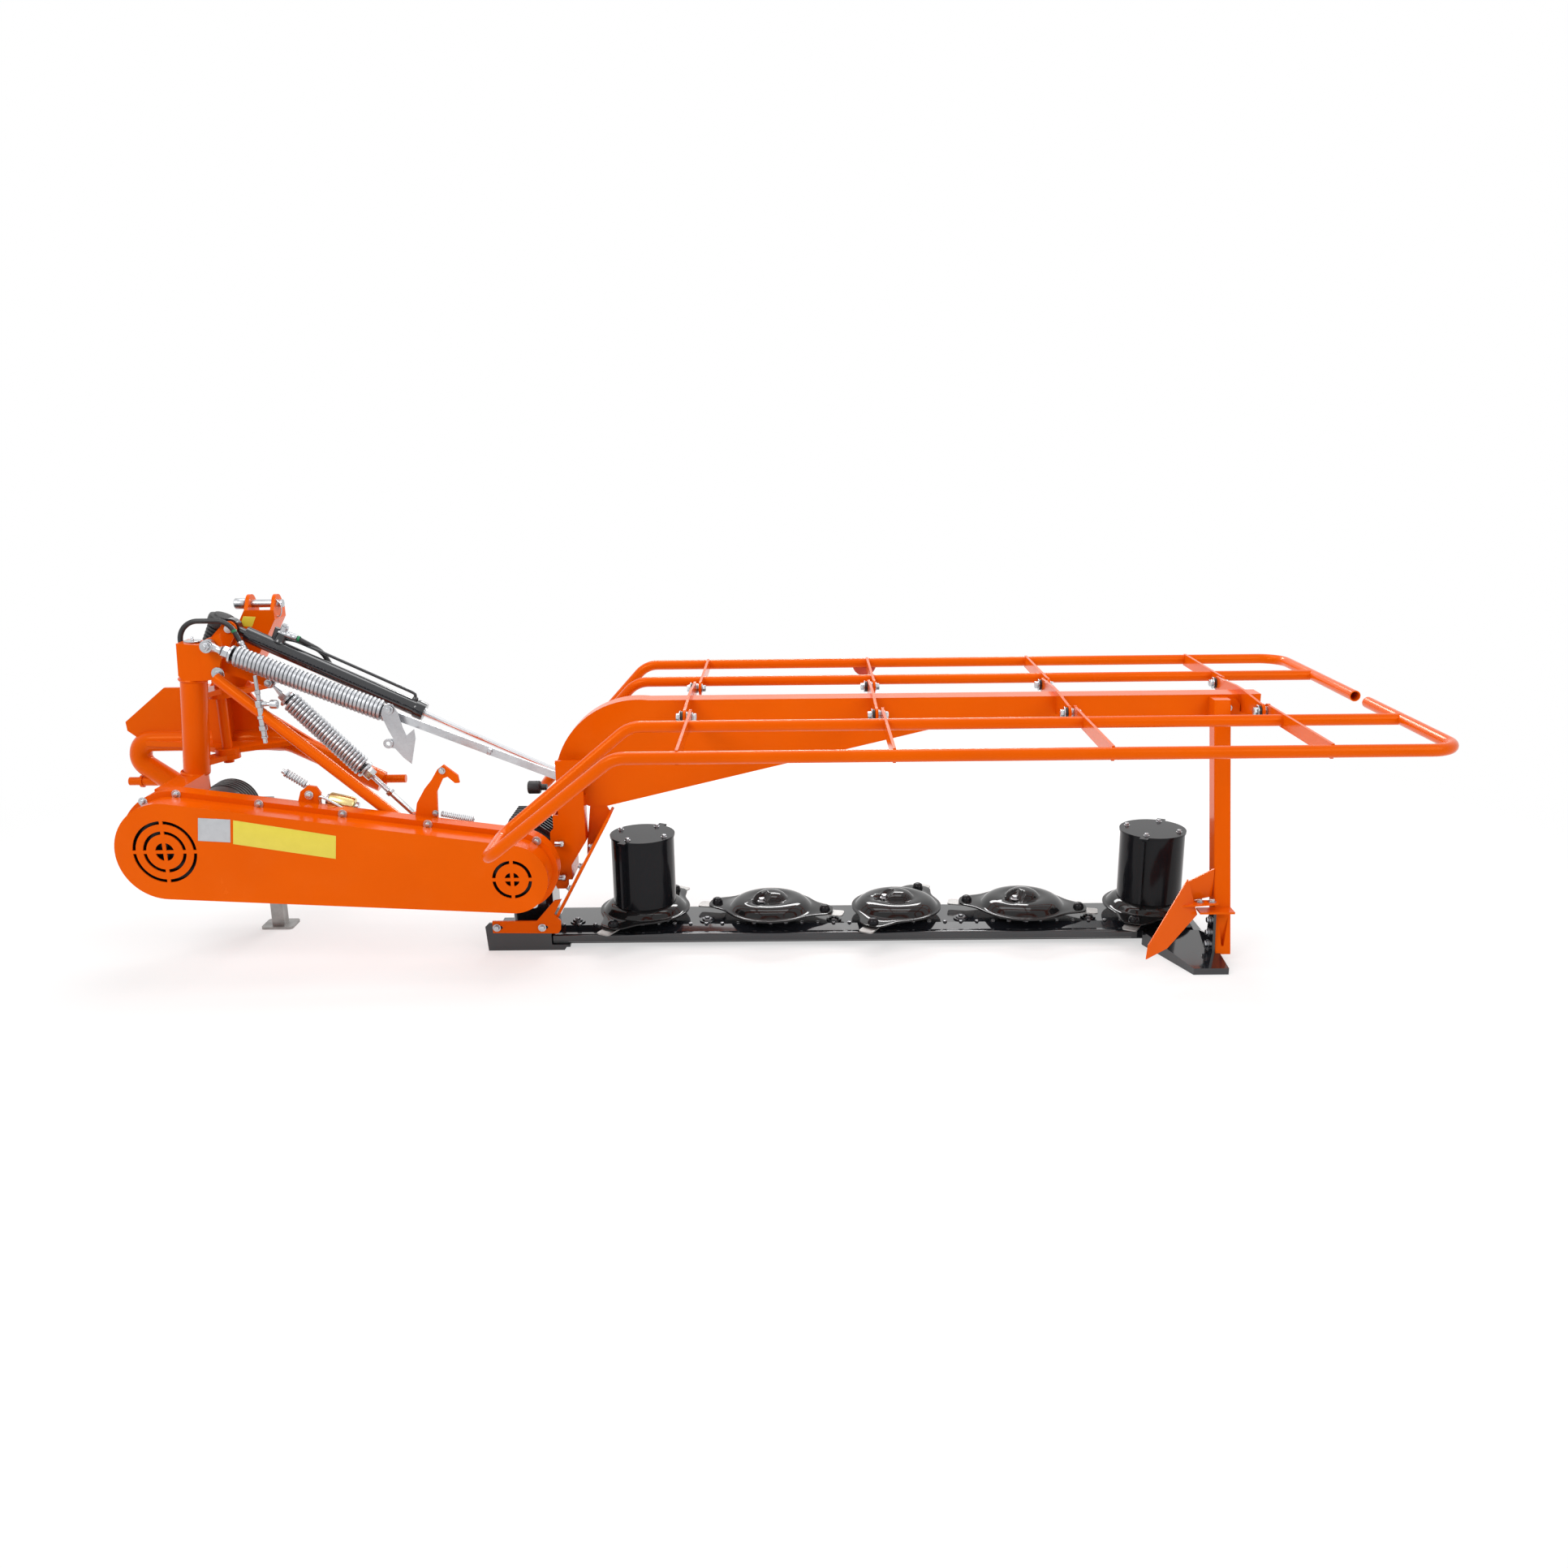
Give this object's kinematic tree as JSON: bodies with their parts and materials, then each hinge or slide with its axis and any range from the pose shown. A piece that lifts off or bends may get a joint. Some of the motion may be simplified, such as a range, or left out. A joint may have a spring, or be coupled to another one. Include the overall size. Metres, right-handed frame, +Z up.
{
  "type": "disc mower",
  "caption": "Side-mounted disc mower with a belt-driven cutter bar, a hinged tube guard frame, lift cylinder and parking stand.",
  "frame": {"origin": "centre of the overall box on the ground, under the parked mower", "axes": "+X out along the cutter bar away from the tractor, +Y forward towards the tractor, +Z up"},
  "size_m": [3.9568, 1.3636, 1.08],
  "materials": {
    "orange_paint": "gloss",
    "black_paint": "gloss",
    "zinc": "satin",
    "steel": "gloss",
    "black_plastic": "satin",
    "knife_steel": "satin"
  },
  "bodies": {
    "headstock": {"headstock": "orange_paint", "swing_pin": "orange_paint", "mast": "orange_paint", "top_link_pin": "zinc", "link_pins": "orange_paint"},
    "carrier": {"carrier_frame": "orange_paint", "carrier_post": "orange_paint", "brace": "orange_paint", "belt_guard": "orange_paint", "shaft_cone": "black_plastic", "lower_spring": "zinc", "head_pins": "zinc", "loop_hose": "black_plastic"},
    "input_shaft": {"input_shaft": "steel"},
    "small_pulley": {"small_pulley": "steel"},
    "stand": {"parking_stand": "zinc"},
    "bar": {"cutter_bar": "black_paint", "inner_shoe": "black_paint", "outer_shoe": "black_paint", "gearbox": "black_paint", "inner_channel": "orange_paint", "main_beam": "orange_paint", "outer_post": "orange_paint", "swath_plate": "orange_paint", "hinge_flats": "orange_paint", "hinge_bolts": "zinc", "foot_plate": "orange_paint", "side_strip": "orange_paint"},
    "guard_near": {"guard_near": "orange_paint"},
    "guard_far": {"guard_far": "orange_paint"},
    "lift_barrel": {"lift_barrel": "black_paint", "feed_hose": "black_plastic"},
    "lift_rod": {"lift_rod": "steel", "rod_pin": "zinc"},
    "balance_spring": {"balance_spring": "zinc", "latch_plate": "zinc"},
    "draw_bar": {"draw_bar": "zinc"},
    "disc_1": {"disc_1": "black_paint", "knives_1": "knife_steel", "drum_1": "black_paint"},
    "disc_2": {"disc_2": "black_paint", "knives_2": "knife_steel"},
    "disc_3": {"disc_3": "black_paint", "knives_3": "knife_steel"},
    "disc_4": {"disc_4": "black_paint", "knives_4": "knife_steel"},
    "disc_5": {"disc_5": "black_paint", "knives_5": "knife_steel", "drum_5": "black_paint"}
  },
  "joints": [
    {"name": "swing", "type": "hinge", "parent": "headstock", "child": "carrier", "pos_m": [-1.582, 0.122, 0.7], "axis": [0, 0, -1], "range_deg": [0, 30]},
    {"name": "fold", "type": "hinge", "parent": "carrier", "child": "bar", "pos_m": [-0.602, 0, 0.301], "axis": [0, -1, 0], "range_deg": [-15, 90]},
    {"name": "stand_slide", "type": "slide", "parent": "carrier", "child": "stand", "axis": [0, 0, 1], "range_m": [0, 0.25]},
    {"name": "input_spin", "type": "hinge", "parent": "carrier", "child": "input_shaft", "pos_m": [-1.619, 0, 0.397], "axis": [0, 1, 0], "continuous": true},
    {"name": "pulley_spin", "type": "hinge", "parent": "carrier", "child": "small_pulley", "pos_m": [-0.602, 0, 0.301], "axis": [0, 1, 0], "continuous": true},
    {"name": "guard_near_lift", "type": "hinge", "parent": "bar", "child": "guard_near", "pos_m": [0.762, -0.185, 0.762], "axis": [-1, 0, 0], "range_deg": [0, 75]},
    {"name": "guard_far_lift", "type": "hinge", "parent": "bar", "child": "guard_far", "pos_m": [0.762, 0.239, 0.762], "axis": [1, 0, 0], "range_deg": [0, 70]},
    {"name": "barrel_swing", "type": "hinge", "parent": "carrier", "child": "lift_barrel", "pos_m": [-1.51, 0.1, 0.997], "axis": [0, -1, 0], "range_deg": [-8.14, 1.77]},
    {"name": "rod_slide", "type": "slide", "parent": "lift_barrel", "child": "lift_rod", "axis": [0.9033, 0, -0.4291], "range_m": [-0.3544, 0.0607]},
    {"name": "spring_swing", "type": "hinge", "parent": "carrier", "child": "balance_spring", "pos_m": [-1.53, -0.034, 0.963], "axis": [0, -1, 0], "range_deg": [-16.65, 3.19]},
    {"name": "draw_bar_slide", "type": "slide", "parent": "balance_spring", "child": "draw_bar", "axis": [0.9269, 0, -0.3754], "range_m": [-0.2536, 0.0439]},
    {"name": "disc_1_spin", "type": "hinge", "parent": "bar", "child": "disc_1", "pos_m": [-0.252, 0.03, 0.083], "axis": [0, 0, 1], "continuous": true},
    {"name": "disc_2_spin", "type": "hinge", "parent": "bar", "child": "disc_2", "pos_m": [0.153, 0.03, 0.083], "axis": [0, 0, 1], "continuous": true},
    {"name": "disc_3_spin", "type": "hinge", "parent": "bar", "child": "disc_3", "pos_m": [0.558, 0.03, 0.083], "axis": [0, 0, 1], "continuous": true},
    {"name": "disc_4_spin", "type": "hinge", "parent": "bar", "child": "disc_4", "pos_m": [0.963, 0.03, 0.083], "axis": [0, 0, 1], "continuous": true},
    {"name": "disc_5_spin", "type": "hinge", "parent": "bar", "child": "disc_5", "pos_m": [1.368, 0.03, 0.083], "axis": [0, 0, 1], "continuous": true}
  ],
  "couplings": [
    {"joint": "barrel_swing", "follows": "fold", "ratio": -0.084864},
    {"joint": "rod_slide", "follows": "fold", "m_per_rad": -0.22431},
    {"joint": "spring_swing", "follows": "fold", "ratio": -0.1795},
    {"joint": "draw_bar_slide", "follows": "fold", "m_per_rad": -0.16015},
    {"joint": "pulley_spin", "follows": "input_spin", "ratio": 1.344},
    {"joint": "disc_2_spin", "follows": "disc_1_spin", "ratio": -1},
    {"joint": "disc_3_spin", "follows": "disc_1_spin", "ratio": 1},
    {"joint": "disc_4_spin", "follows": "disc_1_spin", "ratio": -1},
    {"joint": "disc_5_spin", "follows": "disc_1_spin", "ratio": 1}
  ]
}
